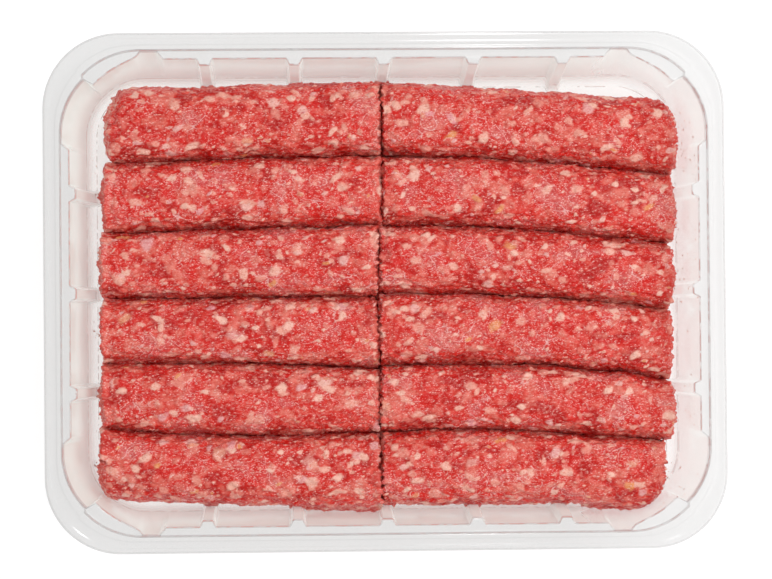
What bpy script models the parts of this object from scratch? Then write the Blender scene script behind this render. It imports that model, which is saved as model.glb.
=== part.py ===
"""Open clear plastic tray packed with raw minced-meat rolls in two columns.

Metres, +Z up. The origin is on the surface the tray stands on, under the centre of its
outline. +X runs along the tray's long side, which is also the way the rolls lie.
"""
import math

import bmesh
import bpy
from mathutils import Vector, noise

MM = 0.001

# Tray outline and sheet
TRAY_LENGTH = 230 * MM
TRAY_WIDTH = 175 * MM
TRAY_HEIGHT = 40 * MM
SHEET = 0.6 * MM
RIM_CORNER = 25.6 * MM
LIP_DROP = 1.6 * MM
LIP_ROUND = 0.5 * MM
SHARP_DEG = 35

# Mouth, the inner edge of the flat rim; every contour below it shares its corner centres
RIM_WIDTH = 5.8 * MM
MOUTH_CORNER = 27.0 * MM

# Wall, from the mouth down: how far each level stands in from the mouth, and its height
DROP_INSET, DROP_HEIGHT = 0.2 * MM, TRAY_HEIGHT - 1.5 * MM
EDGE_INSET, EDGE_HEIGHT = 0.3 * MM, TRAY_HEIGHT - 1.7 * MM
WALL_TOP_INSET, WALL_TOP_HEIGHT = 0.45 * MM, TRAY_HEIGHT - 2.4 * MM
WALL_BASE_INSET, WALL_BASE_HEIGHT = 6.15 * MM, 5.0 * MM
FILLET_INSET, FILLET_HEIGHT = 7.4 * MM, 1.8 * MM
FLOOR_INSET = 9.5 * MM

# Ledge under the rim along the straight sides, where lid and film machines hold the tray
LEDGE_WIDTH = 2.5 * MM
LEDGE_END_ALONG_X = 75.8 * MM
LEDGE_END_ALONG_Y = 49.5 * MM
LEDGE_SLANT = 2.2 * MM

# Crescent lugs in the corners, from near the diagonal round to the long side; from there round
# to the short side the mouth stands in a little
LUG_WIDTH = 4.4 * MM
LUG_ANGLES = (90, 84, 76, 68, 60, 52, 44)
PLAIN_ANGLES = (42, 36, 27, 18, 9, 0)
CORNER_CUT = 1.1 * MM

# Upright ribs that stiffen the walls
RIBS_ALONG_X = 5
RIB_PITCH_X = 30.3 * MM
RIBS_ALONG_Y = 3
RIB_PITCH_Y = 33.7 * MM
RIB_FOOT = 6.0 * MM
RIB_FACE = 3.0 * MM
RIB_DEPTH_TOP = 2.2 * MM
RIB_DEPTH_BASE = 3.0 * MM

# Rolls: each seam is the line where two neighbours touch, given at three places along X
ROWS = 6
GAP = 0.3 * MM
COLUMNS = {
    "left": {
        "knots": (-96, -49, -2),
        "seams": ((71.2, 72.0, 72.9), (45.0, 46.5, 47.3), (20.8, 22.5, 23.0), (-1.8, -1.2, -1.8),
                  (-23.7, -24.2, -26.2), (-46.2, -48.8, -48.3), (-69.8, -72.5, -73.6)),
        "outer_ends": (-96.3, -97.4, -98.2, -98.2, -98.3, -98.5),
        "end_rounds": (7, 4.5, 4.5, 4.5, 4.5, 5),
        "end_slants": (0, 0, 0, 0, 0, 0),
        "end_lean": 0.0,
    },
    "right": {
        "knots": (2, 50, 98),
        "seams": ((72.8, 69.8, 66.3), (47.1, 45.2, 39.9), (23.2, 21.2, 15.6), (-0.6, -1.6, -6.6),
                  (-24.8, -25.7, -30.7), (-47.8, -48.4, -52.0), (-73.1, -73.0, -73.0)),
        "outer_ends": (102.2, 101.0, 100.8, 100.1, 100.3, 97.0),
        "end_rounds": (5, 5, 5, 5, 5, 9),
        "end_slants": (0, 0, 0, 0, 0, 0.12),
        "end_lean": 0.1,
    },
}
MEETING_LINE = (-0.6, -1.0, -2.2, -2.1, -1.8, -1.6)
CROWN_HEIGHTS = (25.8, 25.2, 25.6, 25.0, 25.5, 25.3)

# Where a roll bulges past its lower seam: place along X, half-width and height. The bulge
# fades out below this share of the half-height, to clear the foot of the wall.
BULGES = {("left", 5): (-7, 4, 1.6), ("right", 5): (85, 8, 3.2)}
BULGE_FOOT = 0.8

# Roll ends: blunt where a roll is cut at the meeting line, rounder at its outer end. A lean or
# slant of the outer end sets in late along the roll, by this power.
CUT_ROUND = 1.6 * MM
CUT_BLUNT = 0.5 * MM
END_FULLNESS = 2.4
LEAN_POWER = 6

# Sections: points round a roll, spans along its body, and where sections lie in its ends
ROLL_SIDES = 18
ROLL_SPANS = 9
CUT_STEPS = (0.12, 0.45)
END_STEPS = (0.62, 0.32, 0.12, 0.02)

# Section: powers under 1 flatten a side, 1 leaves it round
PRESSED_SIDE = 0.50
FREE_SIDE = 0.86
CROWN = 0.86
UNDERSIDE = 0.50
FREE_UNDERSIDE = 0.72

# Lumps of the coarse mince; each roll reads the noise in a layer of its own
LUMP_SIZE = 9 * MM
LUMP_HEIGHT = 0.7 * MM
LUMP_LAYER = {"left": -1, "right": 1}
LUMP_LAYER_STEP = 7


def clear_scene():
    for obj in list(bpy.data.objects):
        bpy.data.objects.remove(obj, do_unlink=True)


def make_material(name, colour, roughness, alpha=1.0):
    material = bpy.data.materials.new(name)
    material.use_nodes = True
    shader = material.node_tree.nodes["Principled BSDF"]
    shader.inputs["Base Color"].default_value = (*colour, 1.0)
    shader.inputs["Roughness"].default_value = roughness
    shader.inputs["Metallic"].default_value = 0.0
    shader.inputs["Alpha"].default_value = alpha
    return material


def add_object(name, bm, material):
    mesh = bpy.data.meshes.new(name)
    bm.normal_update()
    bm.to_mesh(mesh)
    bm.free()
    mesh.materials.append(material)
    obj = bpy.data.objects.new(name, mesh)
    bpy.context.collection.objects.link(obj)
    return obj


def loft(bm, rings):
    """Joins rings of equal length with quads, and returns their vertices."""
    loops = [[bm.verts.new(point) for point in ring] for ring in rings]
    for lower, upper in zip(loops, loops[1:]):
        for i, vertex in enumerate(lower):
            j = (i + 1) % len(lower)
            bm.faces.new((vertex, lower[j], upper[j], upper[i]))
    return loops


def side_stations(side, rib_count, rib_pitch, ledge_end):
    """Half a straight side, from its middle out: place, ledge width, rib share, corner cut."""
    stations = []
    for rib in range(rib_count // 2 + 1):
        centre = rib * rib_pitch
        marks = ((-RIB_FOOT / 2, 0.0), (-RIB_FACE / 2, 1.0), (RIB_FACE / 2, 1.0), (RIB_FOOT / 2, 0.0))
        for offset, share in marks:
            if centre + offset > 0:
                stations.append((side, centre + offset, LEDGE_WIDTH, share, 0.0))
    stations.append((side, ledge_end - LEDGE_SLANT / 2, LEDGE_WIDTH, 0.0, 0.0))
    stations.append((side, ledge_end + LEDGE_SLANT / 2, 0.0, 0.0, 0.0))
    return stations


def corner_stations():
    """The corner arc from the long side (90 degrees) round to the short side (0)."""
    stations = []
    first, last = LUG_ANGLES[0], LUG_ANGLES[-1]
    for angle in LUG_ANGLES:
        turned = (angle - last) / (first - last)
        stations.append(("corner", angle, LUG_WIDTH * math.sqrt(1 - turned ** 2), 0.0, 0.0))
    for angle in PLAIN_ANGLES:
        stations.append(("corner", angle, 0.0, 0.0, CORNER_CUT * angle / last))
    return stations


def quadrant_stations():
    """From the middle of the +Y side round the corner to the middle of the +X side."""
    long_side = side_stations("long", RIBS_ALONG_X, RIB_PITCH_X, LEDGE_END_ALONG_X)
    short_side = side_stations("short", RIBS_ALONG_Y, RIB_PITCH_Y, LEDGE_END_ALONG_Y)
    return long_side + corner_stations() + short_side[::-1]


def station_point(station, centre, radius):
    """A point of the rounded rectangle in the +X +Y quadrant."""
    side, value = station[:2]
    if side == "long":
        return value, centre[1] + radius
    if side == "short":
        return centre[0] + radius, value
    angle = math.radians(value)
    return centre[0] + radius * math.cos(angle), centre[1] + radius * math.sin(angle)


def tray_ring(centre, corner, inset, height, ledge_share, rib_depth, cut_share):
    """One closed contour of the tray: the quadrant's points, mirrored into the others."""
    quadrant = []
    for station in quadrant_stations():
        ledge, rib, cut = station[2:]
        radius = corner - inset - ledge * ledge_share - rib * rib_depth - cut * cut_share
        quadrant.append(station_point(station, centre, radius))
    ring = []
    for sign_x, sign_y in ((1, 1), (1, -1), (-1, -1), (-1, 1)):
        points = quadrant if sign_x == sign_y else quadrant[::-1]
        ring += [Vector((sign_x * x, sign_y * y, height)) for x, y in points]
    return ring


def tray_rings():
    rim_centre = (TRAY_LENGTH / 2 - RIM_CORNER, TRAY_WIDTH / 2 - RIM_CORNER)
    mouth_reach = RIM_WIDTH + MOUTH_CORNER
    mouth_centre = (TRAY_LENGTH / 2 - mouth_reach, TRAY_WIDTH / 2 - mouth_reach)
    rim = [
        (0.0, TRAY_HEIGHT - LIP_DROP),
        (0.0, TRAY_HEIGHT - LIP_ROUND),
        (LIP_ROUND, TRAY_HEIGHT),
    ]
    wall = [
        (0.0, TRAY_HEIGHT, 0, 0, 1),
        (DROP_INSET, DROP_HEIGHT, 0, 0, 1),
        (EDGE_INSET, EDGE_HEIGHT, 1, RIB_DEPTH_TOP, 1),
        (WALL_TOP_INSET, WALL_TOP_HEIGHT, 1, RIB_DEPTH_TOP, 1),
        (WALL_BASE_INSET, WALL_BASE_HEIGHT, 0, RIB_DEPTH_BASE, 0),
        (FILLET_INSET, FILLET_HEIGHT, 0, RIB_DEPTH_BASE, 0),
        (FLOOR_INSET, SHEET, 0, RIB_DEPTH_BASE, 0),
    ]
    rings = [tray_ring(rim_centre, RIM_CORNER, inset, height, 0, 0, 0) for inset, height in rim]
    rings += [tray_ring(mouth_centre, MOUTH_CORNER, *level) for level in wall]
    return rings


def make_tray(material):
    """The upper skin, closed by the floor, then given its thickness downwards."""
    bm = bmesh.new()
    loops = loft(bm, tray_rings())
    floor = bm.faces.new(loops[-1])
    bmesh.ops.recalc_face_normals(bm, faces=bm.faces)
    if floor.normal.z < 0:
        bmesh.ops.reverse_faces(bm, faces=bm.faces)
    skin = add_object("tray_skin", bm, material)
    solidify = skin.modifiers.new("Sheet", "SOLIDIFY")
    solidify.thickness = SHEET
    solidify.offset = -1.0
    solidify.use_even_offset = True
    evaluated = skin.evaluated_get(bpy.context.evaluated_depsgraph_get())
    mesh = bpy.data.meshes.new_from_object(evaluated)
    mesh.name = "tray"
    bpy.data.objects.remove(skin, do_unlink=True)
    for vertex in mesh.vertices:
        if vertex.co.z < SHEET / 3:
            vertex.co.z = 0.0
    tray = bpy.data.objects.new("tray", mesh)
    bpy.context.collection.objects.link(tray)
    mesh.shade_smooth()
    mesh.set_sharp_from_angle(angle=math.radians(SHARP_DEG))
    return tray


def parabola(knots, values, x):
    """The parabola through three points, read at x."""
    total = 0.0
    for i, value in enumerate(values):
        for j, knot in enumerate(knots):
            if j != i:
                value *= (x - knot) / (knots[i] - knot)
        total += value
    return total


def signed_power(value, power):
    return math.copysign(abs(value) ** power, value)


def bulge(side, row, x):
    place, width, height = BULGES.get((side, row), (0, 1, 0))
    return height * MM * math.exp(-((x / MM - place) / width) ** 2)


def roll_section(x, side, row, shrink):
    """The closed outline of a roll at x, and its middle."""
    column = COLUMNS[side]
    layer = Vector((0, 0, row * LUMP_LAYER_STEP + LUMP_LAYER[side]))
    upper = parabola(column["knots"], column["seams"][row], x / MM) * MM - GAP / 2
    lower = parabola(column["knots"], column["seams"][row + 1], x / MM) * MM + GAP / 2
    centre_y, half_width = (upper + lower) / 2, (upper - lower) / 2
    half_height = CROWN_HEIGHTS[row] * MM / 2
    centre_z = SHEET + GAP + half_height
    points = []
    for i in range(ROLL_SIDES):
        angle = 2 * math.pi * (i + 0.5) / ROLL_SIDES
        across, up = math.cos(angle), math.sin(angle)
        free = (row == 0 and across > 0) or (row == ROWS - 1 and across < 0)
        unit_y = signed_power(across, FREE_SIDE if free else PRESSED_SIDE)
        underside = FREE_UNDERSIDE if free else UNDERSIDE
        unit_z = signed_power(up, CROWN if up > 0 else underside)
        spot = Vector((x, centre_y + unit_y * half_width, unit_z * half_height)) / LUMP_SIZE
        lump = noise.noise(spot + layer) * LUMP_HEIGHT
        dent = min(lump, 0.0)
        swell = bulge(side, row, x) * min(0.0, unit_y) * max(0.0, min(1.0, BULGE_FOOT + unit_z))
        y = centre_y + shrink * (unit_y * half_width + swell + across * dent)
        z = centre_z + shrink * (unit_z * half_height + up * (lump if up > 0 else dent))
        points.append((y, z))
    return points, centre_y, centre_z


def end_shrink(distance, end_round):
    """How full a section is at this distance from a rounded end."""
    if distance >= end_round:
        return 1.0
    return (1 - (1 - distance / end_round) ** END_FULLNESS) ** (1 / END_FULLNESS)


def roll_rings(side, row):
    """A roll's sections from its cut end, at the meeting line, to its rounded outer end."""
    column = COLUMNS[side]
    outward = -1 if side == "left" else 1
    cut = MEETING_LINE[row] * MM + outward * GAP / 2
    outer = column["outer_ends"][row] * MM
    end_round = column["end_rounds"][row] * MM
    length = abs(outer - cut)
    body = length - CUT_ROUND - end_round
    distances = [CUT_ROUND * share for share in CUT_STEPS]
    distances += [CUT_ROUND + body * i / ROLL_SPANS for i in range(ROLL_SPANS + 1)]
    distances += [length - end_round * share for share in END_STEPS]
    rings = []
    for distance in distances:
        x = cut + outward * distance
        from_cut = end_shrink(distance + CUT_BLUNT, CUT_ROUND + CUT_BLUNT)
        from_outer = end_shrink(length - distance, end_round)
        shrink = min(from_cut, from_outer)
        points, centre_y, centre_z = roll_section(x, side, row, shrink)
        reach = (distance / length) ** LEAN_POWER
        slant = column["end_slants"][row]
        lean = column["end_lean"]
        ring = []
        for y, z in points:
            shift = reach * (slant * (y - centre_y) + lean * (z - centre_z))
            ring.append(Vector((x + shift, y, z)))
        rings.append(ring)
    return rings


def make_roll(side, row, material):
    bm = bmesh.new()
    loops = loft(bm, roll_rings(side, row))
    bm.faces.new(loops[0])
    bm.faces.new(loops[-1])
    bmesh.ops.recalc_face_normals(bm, faces=bm.faces)
    roll = add_object(f"roll_{side}_{row + 1}", bm, material)
    roll.data.shade_smooth()
    return roll


def main():
    clear_scene()
    plastic = make_material("clear_plastic", (0.86, 0.84, 0.83), 0.12, 0.35)
    mince = make_material("raw_mince", (0.61, 0.11, 0.09), 0.35)
    make_tray(plastic)
    for side in COLUMNS:
        for row in range(ROWS):
            make_roll(side, row, mince)


main()
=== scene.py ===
import math
import random

import bmesh
import bpy
from mathutils import Euler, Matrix, Vector, kdtree, noise
from mathutils.bvhtree import BVHTree


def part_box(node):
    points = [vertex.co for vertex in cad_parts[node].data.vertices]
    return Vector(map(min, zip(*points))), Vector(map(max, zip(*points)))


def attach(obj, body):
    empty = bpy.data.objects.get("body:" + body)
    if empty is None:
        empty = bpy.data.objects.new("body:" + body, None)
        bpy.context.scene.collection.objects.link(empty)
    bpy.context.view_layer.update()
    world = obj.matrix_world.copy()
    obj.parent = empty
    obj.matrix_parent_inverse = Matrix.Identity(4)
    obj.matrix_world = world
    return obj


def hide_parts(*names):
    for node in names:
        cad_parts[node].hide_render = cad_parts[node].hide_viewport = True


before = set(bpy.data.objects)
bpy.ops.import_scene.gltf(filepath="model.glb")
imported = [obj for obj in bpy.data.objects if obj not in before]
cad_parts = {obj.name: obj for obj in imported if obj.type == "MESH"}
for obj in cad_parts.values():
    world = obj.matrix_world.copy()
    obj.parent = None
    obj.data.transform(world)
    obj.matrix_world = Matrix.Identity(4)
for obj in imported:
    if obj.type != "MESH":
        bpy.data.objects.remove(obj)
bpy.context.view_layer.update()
mm = 0.001
farOff = 9.0   # metres, past everything
scene = bpy.context.scene
noise.seed_set(7)   # noise_vector would differ from run to run without it
print("frame loaded")


def ease(value):
    value = min(1.0, max(0.0, value))
    return value * value * (3 - 2 * value)


def asObject(bm, name):
    mesh = bpy.data.meshes.new(name)
    bm.to_mesh(mesh)
    bm.free()
    made = bpy.data.objects.new(name, mesh)
    scene.collection.objects.link(made)
    return made


def applyModifiers(piece):
    before = piece.data
    worked = piece.evaluated_get(bpy.context.evaluated_depsgraph_get())
    piece.data = bpy.data.meshes.new_from_object(worked)
    piece.modifiers.clear()
    bpy.data.meshes.remove(before)


# Shader helpers

def channel(value):  # one screen colour channel, 0 to 255, as the shader wants it
    value /= 255
    return value / 12.92 if value <= 0.04045 else ((value + 0.055) / 1.055) ** 2.4


def tint(red, green, blue):
    return (channel(red), channel(green), channel(blue), 1.0)


def join(tree, slot, value):
    if isinstance(value, Link):
        tree.links.new(value.socket, slot)
    else:
        slot.default_value = value


class Link:  # wraps a socket, so that shader maths reads as Python
    def __init__(self, tree, socket):
        self.tree, self.socket = tree, socket

    def maths(self, operation, *values):
        made = self.tree.nodes.new("ShaderNodeMath")
        made.operation = operation
        for slot, value in zip(made.inputs, values):
            join(self.tree, slot, value)
        return Link(self.tree, made.outputs[0])

    def __add__(self, other):
        return self.maths("ADD", self, other)

    def __radd__(self, other):
        return self.maths("ADD", other, self)

    def __sub__(self, other):
        return self.maths("SUBTRACT", self, other)

    def __rsub__(self, other):
        return self.maths("SUBTRACT", other, self)

    def __mul__(self, other):
        return self.maths("MULTIPLY", self, other)

    def __rmul__(self, other):
        return self.maths("MULTIPLY", other, self)

    def __abs__(self):
        return self.maths("ABSOLUTE", self)

    def output(self, name):  # another output of the same node
        return Link(self.tree, self.socket.node.outputs[name])

    def fade(self, low, high):  # 0 at low, 1 at high, eased
        made = self.tree.nodes.new("ShaderNodeMapRange")
        made.interpolation_type = "SMOOTHSTEP"
        for key, value in {"Value": self, "From Min": low, "From Max": high}.items():
            join(self.tree, made.inputs[key], value)
        return Link(self.tree, made.outputs[0])


class Finish:  # a material while its nodes are put together
    def __init__(self, name):
        self.material = bpy.data.materials.new(name)
        self.material.use_nodes = True
        self.tree = self.material.node_tree
        self.shader = self.tree.nodes["Principled BSDF"]
        self.place = self.add("TexCoord", out="Object")

    def add(self, kind, settings=(), values=(), out=0):
        made = self.tree.nodes.new("ShaderNode" + kind)
        for key, value in dict(settings).items():
            if key == "stops":
                while len(made.color_ramp.elements) < len(value):
                    made.color_ramp.elements.new(1.0)
                for element, (position, colour) in zip(made.color_ramp.elements, value):
                    element.position, element.color = position, colour
            else:
                setattr(made, key, value)
        for key, value in dict(values).items():
            join(self.tree, made.inputs[key], value)
        return Link(self.tree, made.outputs[out])

    def blend(self, factor, first, second):
        return self.add("Mix", {"data_type": "RGBA"}, {0: factor, 6: first, 7: second}, out=2)

    def noise(self, scale, detail=2.0, roughness=0.5, place=None):
        return self.add("TexNoise", values={
            "Vector": place or self.place, "Scale": scale, "Detail": detail,
            "Roughness": roughness}, out="Fac")

    def painted(self, name):  # what the mesh carries under that name
        return self.add("Attribute", {"attribute_name": name}, out="Fac")

    def feed(self, **links):
        names = {"colour": "Base Color", "roughness": "Roughness", "alpha": "Alpha",
                 "normal": "Normal"}
        for key, value in links.items():
            join(self.tree, self.shader.inputs[names[key]], value)

    def hold(self, **values):  # the same all over, so set on the shader itself
        for key, value in values.items():
            self.shader.inputs[key.replace("_", " ")].default_value = value


# Raw mince

minceLook = {  # each layer's colour, from the lowest up, and how much it hides of what is under it
    "deep": (tint(186, 19, 13), 1.0),
    "lean": (tint(207, 36, 25), 1.0),
    "rosy": (tint(213, 64, 51), 1.0),
    "salmon": (tint(220, 112, 97), 0.75),
    "lilac": (tint(206, 118, 116), 0.4),
    # painted shade: the darkest red, laid in patches where patch and smear run low
    "paintedShade": (tint(168, 17, 12), 0.5),
    "bright": (tint(215, 26, 18), 0.55),
    # painted light: paler colour on the outer ends and the right-hand ends, as if lit there
    "dry": (tint(240, 116, 102), 0.45),
    "gap": (tint(168, 17, 12), 0.25),
    "granule": (tint(228, 154, 141), 0.3),
    "thread": (tint(233, 186, 181), 0.6),
    # painted sheen: fine pale specks standing for wet glints
    "paintedSheen": (tint(233, 186, 181), 1.0),
    "pit": (tint(186, 19, 13), 0.4),
    # painted glints: tiny pale dots in the granules
    "paintedGlint": (tint(240, 206, 199), 0.62),
}
fatLook = (  # place along the bits' range of tones, colour, and how much of the meat it hides
    (0.0, tint(220, 106, 92), 0.45), (0.35, tint(226, 138, 122), 0.72),
    (0.62, tint(232, 163, 145), 0.88), (0.86, tint(237, 187, 168), 0.95),
    (0.95, tint(224, 160, 162), 0.75), (0.99, tint(228, 160, 100), 0.7),
)
minceGrain = {
    "mottle": 850,             # how many to the metre
    "fine": 2200,
    "granules": 1600,
    "stretch": (0.6, 1.0, 1.0),
    "warp": 1.3 * mm,
    "bump": (0.6, 0.4 * mm),   # strength and depth
}


def makeMince():
    finish = Finish("rawMince")
    grain = minceGrain
    along = finish.add("Mapping", values={"Vector": finish.place, "Scale": grain["stretch"]})
    mottle = finish.noise(grain["mottle"], 3.0, 0.65, along)
    fine = finish.noise(grain["fine"], 2.0, 0.7, along)
    warped = finish.add("VectorMath", {"operation": "MULTIPLY_ADD"},
                        {0: mottle, 1: (grain["warp"],) * 3, 2: along})
    cell = finish.add("TexVoronoi", values={"Vector": warped, "Scale": grain["granules"]}, out="Color")
    patch, smear, red, thread, dry, fatDepth, tone = (
        finish.painted(name) for name in ("patch", "smear", "red", "thread", "dry", "fat", "tone"))
    stops = [(place, (*colour[:3], hiding)) for place, colour, hiding in fatLook]
    fatColour = finish.add("ValToRGB", {"stops": stops}, {"Fac": tone})

    edge = (mottle - 0.5) * 0.9   # frays the edges of whatever the mesh carries
    smeared = smear + edge * 0.7
    fat = (fatDepth + edge * 0.5).fade(0.0, 0.55)
    # how much of the painted sheen shows, more where patch is high
    sheenShare = (patch - edge * 0.5).fade(-0.25, 0.35) * 0.5 + 0.2
    where = {  # where each layer lies, in the order in which they cover each other
        "lean": (patch + edge * 0.3).fade(-0.40, 0.15),
        "rosy": smeared.fade(-0.14, 0.32),
        "salmon": smeared.fade(0.14, 0.50),
        "lilac": (patch + edge).fade(0.20, 0.60),
        # painted shade, in patches
        "paintedShade": (-0.25 - patch - smear * 0.5).fade(0.0, 0.3),
        "bright": (red + edge * 0.4).fade(0.06, 0.36),
        "dry": dry,
        "gap": 1 - cell.fade(0.20, 0.50),
        "granule": cell.fade(0.52, 0.80),
        "thread": (1 - abs(thread).fade(0.008, 0.03)) * (patch - edge).fade(0.15, 0.3),
        "fat": fat * fatColour.output("Alpha"),
        "paintedSheen": fine.fade(0.56, 0.66) * sheenShare,
        "pit": 1 - fine.fade(0.36, 0.47),
        # painted glints
        "paintedGlint": (1 - cell.output("Distance").fade(0.16, 0.34)) * cell.fade(0.53, 0.57),
    }
    layers = {**minceLook, "fat": (fatColour, 1.0)}
    meat = minceLook["deep"][0]
    for name, place in where.items():
        colour, hiding = layers[name]
        meat = finish.blend(place * hiding, meat, colour)

    relief = cell.output("Distance") * -0.4 + fine * 0.8 + fat * 0.3
    strength, depth = grain["bump"]
    finish.feed(
        colour=meat,
        roughness=mottle * 0.3 + 0.2,
        normal=finish.add("Bump", values={"Strength": strength, "Distance": depth, "Height": relief}),
    )
    finish.hold(Coat_Weight=0.14, Coat_Roughness=0.12, IOR=1.38, Specular_IOR_Level=0.25)
    return finish.material


rollShape = {
    "rounds": 2,               # of subdivision, before the remesh
    "voxel": 0.45 * mm,
    "wander": (13.0, 0.8),     # waves of the whole pack: size and reach, mm
    "patches": (8.5, 3.8, 7.0, 4.2),   # size of dark patches, smears, red places, threads, mm
    "stretch": 0.7,            # of the meat's grain, along the roll
    "lumps": (6.0, 0.45),      # size and height, mm
    "strands": (2.8, 0.50),
    "crumbs": (1.5, 0.75),
    "endCrumble": 2.5,         # how much rougher the ends are
    "endReach": 5 * mm,
    "endRound": (5.5 * mm, 8.5 * mm),   # the wider, the squarer the ends; the last row's end wider
    "seamRound": 0.3,          # share of that where the columns meet, and for how far
    "seamReach": 25 * mm,
    "endTrim": {               # off the outer ends, mm, row by row
        "left": (0.3, 0.5, 0.5, 0.4, 0.5, 0.3), "right": (1.2, 0.9, 1.1, 0.8, 0.9, 0.2)},
    "trimReach": 12 * mm,
    "outerSwell": {1: 0.3 * mm, 6: 0.9 * mm},    # of the first and last row, to the wall
    "cornerCut": {1: 1.7 * mm, 6: 0.0},
    "cornerFrom": (60 * mm, 55 * mm),  # the rolls' corners and outer sides lie beyond these
    "press": (1.6 * mm, 3.2 * mm),     # how far a side swells to its neighbour, at most, and at the end
    "pressReach": 16 * mm,
    "touch": 3.4 * mm,         # what is nearer than this is swollen to
    "shrunk": 0.2 * mm,        # how far a rounded copy stands inside its solid
    "trayGap": 0.08 * mm,
}
bitShape = {  # bits of fat pressed into the meat
    "number": 760,             # in each roll
    "length": (0.7, 3.3),      # half-length, mm
    "width": (0.4, 0.85),      # share of the length
    "turn": (0.6, 0.5, 0.55),  # most about x and y, spread about z, radians
    "fray": 0.5,
    "relief": 0.22 * mm,
}


def refinedCopy(node, name):
    bm = bmesh.new()
    bm.from_mesh(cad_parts[node].data)
    bmesh.ops.remove_doubles(bm, verts=bm.verts, dist=0.001 * mm)
    piece = asObject(bm, name)
    rounding = piece.modifiers.new("Round", "SUBSURF")
    rounding.levels = rounding.render_levels = rollShape["rounds"]
    even = piece.modifiers.new("Even", "REMESH")
    even.mode, even.voxel_size = "VOXEL", rollShape["voxel"]
    applyModifiers(piece)
    return piece


def pressBits(spots, chance):  # how deep each vertex lies in a bit of fat, and that bit's tone
    fat, tone = [0.0] * len(spots), [0.0] * len(spots)
    tree = kdtree.KDTree(len(spots))
    for index, spot in enumerate(spots):
        tree.insert(spot, index)
    tree.balance()
    low, high = bitShape["length"]
    mostX, mostY, spreadZ = bitShape["turn"]
    for _ in range(bitShape["number"]):
        centre = spots[chance.randrange(len(spots))]
        long = (low + (high - low) * chance.random() ** 2.2) * mm   # most of them small
        wide = long * chance.uniform(*bitShape["width"])
        turn = Euler((chance.uniform(-mostX, mostX), chance.uniform(-mostY, mostY),
                      chance.gauss(0, spreadZ))).to_matrix()
        shade = chance.random()
        shift = Vector((shade * 9, 0, 0))
        for spot, index, _far in tree.find_range(centre, long * 1.2):
            offset = (spot - centre) @ turn
            reach = math.sqrt((offset.x / long) ** 2 + (offset.y / wide) ** 2 + (offset.z / wide) ** 2)
            frayed = 1 + bitShape["fray"] * noise.noise(offset / (0.7 * long) + shift)
            inside = 1 - reach * frayed
            if inside > fat[index]:
                fat[index], tone[index] = inside, shade
    return fat, tone


def nearby(node):  # the solids that a roll may touch, and whether each is another roll
    low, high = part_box(node)
    trees = []
    for name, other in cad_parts.items():
        otherLow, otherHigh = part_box(name)
        apart = max(max(a - b for a, b in zip(otherLow, high)),
                    max(a - b for a, b in zip(low, otherHigh)))
        if name != node and apart < 2 * mm:
            corners = [vertex.co for vertex in other.data.vertices]
            faces = [face.vertices for face in other.data.polygons]
            trees.append((BVHTree.FromPolygons(corners, faces), name != "tray"))
    return trees


def roomAround(spot, out, others):  # how far a side may swell, and how far it is to another roll
    tray, beside = farOff, farOff
    for tree, soft in others:
        away = tree.ray_cast(spot, out, 6 * mm)[3]
        if away is not None and soft:
            beside = min(beside, (away + rollShape["shrunk"]) / 2)
        elif away is not None:
            tray = min(tray, away - rollShape["trayGap"])
    return min(tray, beside), beside


def shadesAt(along, layer):  # what the material reads there, from noise of several sizes
    patch, smear, red, thread = (size * mm for size in rollShape["patches"])
    return {
        "patch": noise.noise(along / patch) + noise.noise(along / patch * 2.3) * 0.5,
        "smear": (noise.noise(along / smear) + noise.noise(along / smear * 2.1) * 0.5
                  + noise.noise(along / (3 * smear)) * 0.4),
        "red": noise.noise(along / red + layer * 90),
        "thread": noise.noise(along / thread - layer * 70),
    }


def reliefAt(along, rough):  # how far lumps, strands and crumbs stand out there
    (lumpSize, lumpHeight), (strandSize, strandHeight), (crumbSize, crumbHeight) = (
        (size * mm, height * mm)
        for size, height in (rollShape[kind] for kind in ("lumps", "strands", "crumbs")))
    near = noise.voronoi(along / strandSize)[0]
    stand = noise.noise(along / lumpSize) * lumpHeight
    stand += (min(near[1] - near[0], 0.5) * 2 - 0.6) * strandHeight * rough
    stand += (0.45 - noise.voronoi(along / crumbSize)[0][0]) * crumbHeight * rough
    return stand


def squareReach(out):  # how much farther a squared end reaches that way than a round one
    return (out.x ** 8 + (1 - out.x ** 2) ** 4 + 1e-9) ** -0.125 - 1


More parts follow.
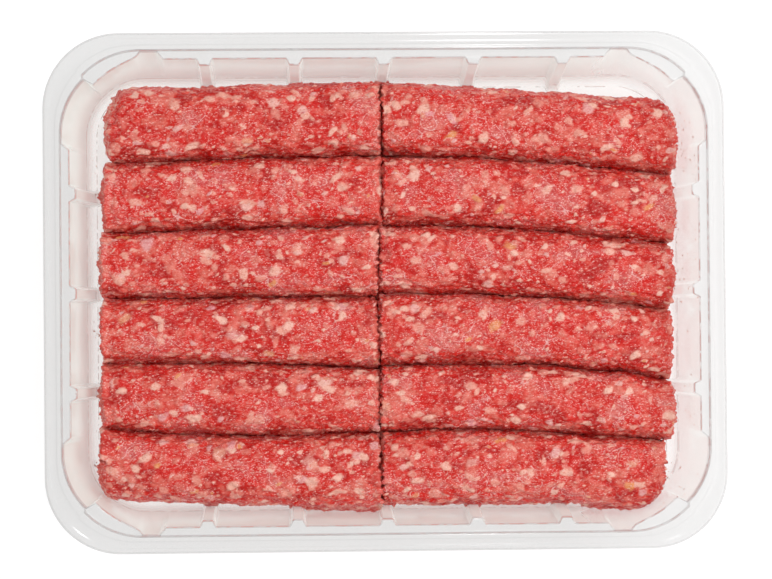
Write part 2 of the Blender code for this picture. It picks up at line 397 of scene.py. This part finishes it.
def roughen(piece, node, seed):
    mesh, shape = piece.data, rollShape
    spots = [vertex.co.copy() for vertex in mesh.vertices]
    facing = [Vector(normal.vector) for normal in mesh.vertex_normals]
    fat, tone = pressBits(spots, random.Random(seed))
    shades = {"fat": fat, "tone": tone, "patch": [], "smear": [], "red": [], "thread": [], "dry": []}
    low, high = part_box(node)
    others = nearby(node)
    layer = Vector((0, 0, seed * 0.37))   # each roll reads the noise in a place of its own
    column, row = node.split("_")[1], int(node[-1])
    trim = shape["endTrim"][column][row - 1] * mm
    waveSize, waveReach = (value * mm for value in shape["wander"])
    cornerX, outerY = shape["cornerFrom"]
    middle, end = shape["press"]
    for index, (spot, out) in enumerate(zip(spots, facing)):
        toLeft, toRight = spot.x - low.x, high.x - spot.x
        toEnd, toOuter = min(toLeft, toRight), toLeft if column == "left" else toRight
        along = Vector((spot.x * shape["stretch"], spot.y, spot.z)) + layer
        for name, value in shadesAt(along, layer).items():
            shades[name].append(value)
        # painted light: paler within endReach of the outer ends and the right-hand ends
        shades["dry"].append(ease(1 - min(toOuter, toRight) / shape["endReach"]))

        rough = 1 + (shape["endCrumble"] - 1) * max(0.0, 1 - toEnd / shape["endReach"])
        stand = reliefAt(along, rough) + fat[index] * bitShape["relief"]
        outer = abs(spot.y) > outerY and spot.y * out.y > 0
        if outer and abs(spot.x) > cornerX:
            stand -= shape["cornerCut"].get(row, 0) * abs(out.x * out.y) * 2
        else:
            seam = shape["seamRound"]
            squared = seam + (1 - seam) * ease(abs(spot.x) / shape["seamReach"] - 0.5)
            stand += shape["endRound"][row == 6] * squareReach(out) * squared
        if outer:
            stand += shape["outerSwell"].get(row, 0) * abs(out.y)
        room = farOff
        if out.z < 0.75:      # the top is free to stand out
            room, beside = roomAround(spot, out, others)
            press = middle + (end - middle) * ease(1 - toOuter / shape["pressReach"]) * (
                beside < shape["touch"])
            side = min(1.0, max(0.0, (0.12 - out.z) * 4))   # none of it on top, all of it below
            stand += side * (press if room < shape["touch"] else shape["shrunk"])

        wave = noise.noise_vector(spot / waveSize) * waveReach
        wave.x -= math.copysign(trim, spot.x) * ease(1 - toOuter / shape["trimReach"])
        mesh.vertices[index].co = spot + out * min(stand, room) + Vector((wave.x, wave.y, 0))
    for name, values in shades.items():
        mesh.attributes.new(name, "FLOAT", "POINT").data.foreach_set("value", values)
    mesh.shade_smooth()


mince = makeMince()
for seed, node in enumerate(sorted(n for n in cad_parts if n.startswith("roll"))):
    piece = refinedCopy(node, node.replace("roll", "mince"))
    roughen(piece, node, seed + 11)
    piece.data.materials.clear()
    piece.data.materials.append(mince)
    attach(piece, "root")
    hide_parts(node)
    print("roll", piece.name, len(piece.data.polygons))


# Clear tray

trayShape = {  # mm
    "rim": (230, 175, 25.6),       # length, width and corner radius
    "mouth": (218.4, 163.4, 27.0),
    "sheet": 0.45,
    "ledge": 2.5,
    "ledgeEnds": (75.8, 49.5),     # along the long side and along the short side
    "ledgeSlant": 2.2,
    "lug": 4.4,
    "lugEnd": 44,                  # degrees round the corner from the short side
    "spacing": 2.6,                # of the stations along a side, where nothing happens
    "sharp": 50,                   # degrees from which an edge is drawn sharp
    "cornerCut": 1.1,
    "ribs": ((0, 30.3, 60.6), (0, 33.7)),
    "ribFoot": 6.0,
    "ribFace": 3.0,
}
lipLevels = (  # in from the rim, height
    (0, 38.4), (0, 39.5), (0.06, 39.73), (0.2, 39.9), (0.38, 39.98), (0.5, 40.0),
)
flangeLevels = (  # share of the way from the lip to the mouth, height
    (0.20, 40.0), (0.235, 39.96), (0.27, 39.86), (0.31, 39.82), (0.45, 39.80),
    (0.60, 39.82), (0.64, 39.86), (0.675, 39.96), (0.71, 40.0), (0.97, 40.0),
)
wallLevels = (  # in from the mouth, height, share of the ledge, ribs' depth, share of the cut, line
    (-0.05, 39.94, 0, 0, 1, 0), (0.04, 39.80, 0, 0, 1, 0.4), (0.09, 39.55, 0, 0, 1, 1),
    (0.18, 38.80, 0, 0, 1, 0.6), (0.22, 38.55, 0, 0, 1, 0), (0.27, 38.37, 0.02, 0.04, 1, 0),
    (0.30, 38.31, 0.10, 0.2, 1, 0), (0.32, 38.30, 0.5, 1.1, 1, 0), (0.34, 38.29, 0.84, 1.9, 1, 0),
    (0.37, 38.24, 0.94, 2.08, 1, 0.7), (0.40, 38.12, 0.99, 2.18, 1, 1), (0.43, 37.90, 1, 2.2, 1, 0.8),
    (0.47, 37.5, 1, 2.2, 1, 0), (1.9, 29.5, 0.75, 2.4, 0.75, 0), (3.3, 21.4, 0.5, 2.6, 0.5, 0),
    (4.73, 13.2, 0.25, 2.8, 0.25, 0), (6.02, 5.8, 0.02, 3.0, 0.0, 0), (6.12, 5.3, 0.01, 3.0, 0.0, 0.6),
    (6.26, 4.8, 0, 3.0, 0, 0.6), (6.42, 4.2, 0, 3.0, 0, 0), (6.75, 3.1, 0, 3.0, 0, 0),
    (7.2, 2.2, 0, 3.0, 0, 0), (7.8, 1.4, 0, 3.0, 0, 0), (8.5, 0.9, 0, 3.0, 0, 0),
    (9.2, 0.68, 0, 3.0, 0, 0), (9.5, 0.62, 0, 3.0, 0, 0.5), (9.8, 0.6, 0, 3.0, 0, 0),
)


def sideStations(which):  # along half a side, from its middle: side, place, ledge, rib share, cut
    shape = trayShape
    half = shape["mouth"][which] / 2 - shape["mouth"][2]
    ledgeEnd, slant = shape["ledgeEnds"][which], shape["ledgeSlant"]
    face, foot = shape["ribFace"] / 2, shape["ribFoot"] / 2
    spacing, clear = shape["spacing"], 0.8
    steps = [spacing * i + clear for i in range(int(half / spacing))]
    for rib in shape["ribs"][which]:
        steps = [step for step in steps if abs(step - rib) > foot + clear]
        offsets = [face * share for share in (0.35, 0.8, 0.95)]
        offsets += [face + (foot - face) * share for share in (0.08, 0.3, 0.5, 0.7, 0.92, 1.06, 1.25)]
        places = [rib + sign * offset for offset in offsets for sign in (-1, 1)]
        steps += [place for place in places if place > 0]
    steps = [step for step in steps if abs(step - ledgeEnd) > slant * 0.7 and step < half - clear / 2]
    steps += [ledgeEnd + slant * share for share in (-0.6, -0.45, -0.2, 0.2, 0.45, 0.6)]
    stations = []
    for step in sorted(steps):
        rib = max(ease((foot - abs(step - place)) / (foot - face)) for place in shape["ribs"][which])
        ledge = shape["ledge"] * min(1, max(0, 0.5 - (step - ledgeEnd) / slant))
        stations.append((which, step, ledge, rib, 0.0))
    return stations


def cornerStations():  # round a corner from the long side at 90 degrees to the short side at 0
    end = trayShape["lugEnd"]
    stations = []
    for angle in (*range(90, end + 3, -3), end + 1.6, end + 0.6, end):
        turned = (angle - end) / (90 - end)
        stations.append((2, angle, trayShape["lug"] * math.sqrt(max(0, 1 - turned ** 2)), 0.0, 0.0))
    for angle in (end - 2, end - 2.6, end - 4, end - 7, *range(end - 11, 0, -4)):
        stations.append((2, angle, 0.0, 0.0, trayShape["cornerCut"] * angle / end))
    return stations


def trayPlace(station, outline, inset):  # a place on an outline, in the +x +y quarter
    length, width, corner = outline
    kind, step = station[:2]
    radius = corner - inset
    centreX, centreY = length / 2 - corner, width / 2 - corner
    if kind == 0:
        return Vector((step, centreY + radius, 0))
    if kind == 1:
        return Vector((centreX + radius, step, 0))
    angle = math.radians(step)
    return Vector((centreX + radius * math.cos(angle), centreY + radius * math.sin(angle), 0))


def trayRings():  # every contour from lip to floor: strength of its drawn line, and station to place
    shape = trayShape
    lip = lipLevels[-1][0]
    for inset, height in lipLevels:
        yield 0.0, lambda s, i=inset, h=height: trayPlace(s, shape["rim"], i) + Vector((0, 0, h))
    for share, height in flangeLevels:
        yield 0.0, lambda s, t=share, h=height: trayPlace(s, shape["rim"], lip).lerp(
            trayPlace(s, shape["mouth"], s[4]), t) + Vector((0, 0, h))
    for inset, height, ledge, rib, cut, line in wallLevels:
        yield line, lambda s, i=inset, h=height, a=ledge, b=rib, c=cut: trayPlace(
            s, shape["mouth"], i + s[2] * a + s[3] * b + s[4] * c) + Vector((0, 0, h))


def makeTray():
    quarter = sideStations(0) + cornerStations() + sideStations(1)[::-1]
    around = []
    for signX, signY in ((1, 1), (1, -1), (-1, -1), (-1, 1)):
        row = quarter if signX == signY else quarter[::-1]
        around += [(station, Vector((signX, signY, 1))) for station in row]
    rings = list(trayRings())
    bm = bmesh.new()
    mark = bm.verts.layers.int.new("station")
    drawn = bm.verts.layers.float.new("line")
    ring = bmesh.ops.create_circle(bm, segments=len(around), radius=0.1)["verts"]
    for index, vert in enumerate(ring):
        vert[mark] = index
    edges = list(bm.edges)
    for number, (line, place) in enumerate(rings):
        if number:
            grown = bmesh.ops.extrude_edge_only(bm, edges=edges)["geom"]
            ring = [part for part in grown if isinstance(part, bmesh.types.BMVert)]
            fresh = set(ring)
            edges = [part for part in grown
                     if isinstance(part, bmesh.types.BMEdge) and fresh.issuperset(part.verts)]
        for vert in ring:
            station, sign = around[vert[mark]]
            vert.co = place(station) * sign * mm
            vert[drawn] = line
    bmesh.ops.contextual_create(bm, geom=edges)
    bmesh.ops.recalc_face_normals(bm, faces=bm.faces)
    bm.faces.ensure_lookup_table()
    if max(bm.faces, key=lambda face: face.calc_area()).normal.z < 0:
        bmesh.ops.reverse_faces(bm, faces=bm.faces)
    tray = asObject(bm, "openTray")
    sheet = tray.modifiers.new("Sheet", "SOLIDIFY")
    sheet.thickness, sheet.offset, sheet.use_even_offset = trayShape["sheet"] * mm, -1, True
    applyModifiers(tray)
    tray.data.shade_smooth()
    tray.data.set_sharp_from_angle(angle=math.radians(trayShape["sharp"]))
    return tray


clearLook = {
    "sheet": tint(243, 250, 242),
    "rim": tint(180, 179, 178),
    "line": tint(190, 126, 112),
    "faceOn": 0.10,                # how much the sheet hides, seen straight on
    "edgeOn": 0.52,                # and how much more, seen along it
    "rimExtra": 0.14,
    "lineExtra": 0.8,
    "rimFrom": (36.8 * mm, 37.4 * mm),    # the height where the rim's thicker sheet begins
    "litSideClearing": (50 * mm, 105 * mm, 0.4),  # from, to and how far the sheet clears towards +x, painted light that makes that side lighter
}


def makeClear():
    finish = Finish("clearPlastic")
    look = clearLook
    edgeOn = finish.add("LayerWeight", values={"Blend": 0.4}, out="Facing")
    streak = finish.noise(240, 2.0, 0.7)
    line = finish.painted("line") * streak.fade(0.38, 0.56)
    height = finish.add("SeparateXYZ", values={"Vector": finish.place}, out="Z")
    rim = height.fade(*look["rimFrom"])
    start, end, share = look["litSideClearing"]
    # painted light: the sheet hides less towards +x, so that side shows more of the bright floor and
    # reads lighter
    litSideHaze = 1 - height.output("X").fade(start, end) * share
    body = (edgeOn * look["edgeOn"] + look["faceOn"]) * litSideHaze + rim * look["rimExtra"]
    finish.feed(
        colour=finish.blend(line, finish.blend(rim, look["sheet"], look["rim"]), look["line"]),
        roughness=streak * 0.1 + 0.06,
        alpha=body.maths("MAXIMUM", body, line * look["lineExtra"]),
    )
    finish.hold(IOR=1.5)
    return finish.material


tray = makeTray()
tray.data.materials.clear()
tray.data.materials.append(makeClear())
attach(tray, "root")
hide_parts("tray")
print("tray", len(tray.data.polygons))


# Crumbs of mince on the tray's walls

crumbShape = {
    "places": (  # centre and spread in mm, number
        ((103.5, 50, 1.5, 10), 130), ((103.9, 6, 1.1, 8), 56), ((104.2, -38, 0.9, 6), 24),
        ((99, -66, 5, 5), 70), ((88, -77, 6, 1.5), 26), ((-100.2, 44, 0.7, 10), 14),
        ((-100.2, -12.5, 0.6, 1.5), 8), ((-100.2, -58, 0.7, 6), 12),
    ),
    "radius": (0.08, 0.30),        # mm
    "highest": 38 * mm,            # none lie on the flange
    "squash": ((1, 2.2), 0.6),     # longer than wide by, and height for width
    "stuck": 0.35,                 # height of their middle above the wall, for their radius
    "colours": (tint(172, 96, 74), tint(216, 152, 124)),
}


def makeCrumbs(tray):
    shape, chance = crumbShape, random.Random(4)
    (least, most), flat = shape["squash"]
    low, high = shape["radius"]
    surface = BVHTree.FromObject(tray, bpy.context.evaluated_depsgraph_get())
    bm = bmesh.new()
    for (middleX, middleY, spreadX, spreadY), number in shape["places"]:
        for _ in range(number):
            above = Vector((chance.gauss(middleX, spreadX), chance.gauss(middleY, spreadY), 60)) * mm
            spot, out = surface.ray_cast(above, Vector((0, 0, -1)))[:2]
            if spot is None or spot.z > shape["highest"]:
                continue
            radius = (low + (high - low) * chance.random() ** 3) * mm
            turn = out.to_track_quat("Z", "X").to_matrix().to_4x4()
            spin = Euler((0, 0, chance.uniform(0, 6.3))).to_matrix().to_4x4()
            grown = bmesh.ops.create_icosphere(bm, subdivisions=1, radius=radius)["verts"]
            bmesh.ops.scale(bm, verts=grown, vec=(chance.uniform(least, most), 1, flat))
            bmesh.ops.transform(bm, verts=grown, matrix=turn @ spin)
            bmesh.ops.translate(bm, verts=grown, vec=spot + out * radius * shape["stuck"])
    crumbs = asObject(bm, "crumbs")
    crumbs.data.shade_smooth()
    finish = Finish("crumbMince")
    finish.feed(colour=finish.blend(finish.noise(180).fade(0.4, 0.6), *shape["colours"]))
    finish.hold(Roughness=0.45)
    crumbs.data.materials.append(finish.material)
    return crumbs


crumbs = makeCrumbs(tray)
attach(crumbs, "root")
print("crumbs", len(crumbs.data.polygons))


# Floor, light and camera

stage = {
    "floor": tint(166, 166, 166),
    "glow": 0.68,                  # the floor's own light, which keeps it white as in the photo
    "reach": 4.0,                  # half the floor's side, metres
    "world": 0.72,                 # strength of the light from all round
    "lamps": {                     # place, size in metres, watts
        "soft": ((0.68, 0.10, 1.00), 0.9, 6.6),
        "spark": ((0.10, 0.22, 1.0), 0.06, 1.2),
    },
}


def makeFloor():
    finish = Finish("paleFloor")
    finish.feed(colour=stage["floor"])
    finish.hold(Roughness=0.8, Emission_Color=(1, 1, 1, 1), Emission_Strength=stage["glow"])
    bm = bmesh.new()
    bmesh.ops.create_grid(bm, x_segments=1, y_segments=1, size=stage["reach"])
    bmesh.ops.translate(bm, verts=bm.verts, vec=(0, 0, -0.05 * mm))
    floor = asObject(bm, "floor")
    floor.data.materials.append(finish.material)


def makeLamps():
    for name, (place, size, power) in stage["lamps"].items():
        data = bpy.data.lights.new(name, "AREA")
        data.size, data.energy = size, power
        lamp = bpy.data.objects.new(name, data)
        lamp.location = place
        lamp.rotation_euler = (-Vector(place)).to_track_quat("-Z", "Y").to_euler()
        scene.collection.objects.link(lamp)
    world = bpy.data.worlds.new("studio")
    world.use_nodes = True
    background = world.node_tree.nodes["Background"]
    background.inputs["Color"].default_value = (1, 1, 1, 1)
    background.inputs["Strength"].default_value = stage["world"]
    scene.world = world


view = {
    "place": (-0.030, -0.015, 0.940),
    "turn": (1.004, -1.897, -0.510),  # degrees
    "lens": 124.7,
}


def makeCamera():
    data = bpy.data.cameras.new("camera")
    data.lens, data.sensor_width = view["lens"], 36
    data.clip_start, data.clip_end = 0.05, 20
    camera = bpy.data.objects.new("camera", data)
    camera.location = view["place"]
    camera.rotation_euler = [math.radians(angle) for angle in view["turn"]]
    scene.collection.objects.link(camera)
    scene.camera = camera


makeFloor()
makeLamps()
makeCamera()
scene.view_settings.view_transform = "Standard"
print("stage set")
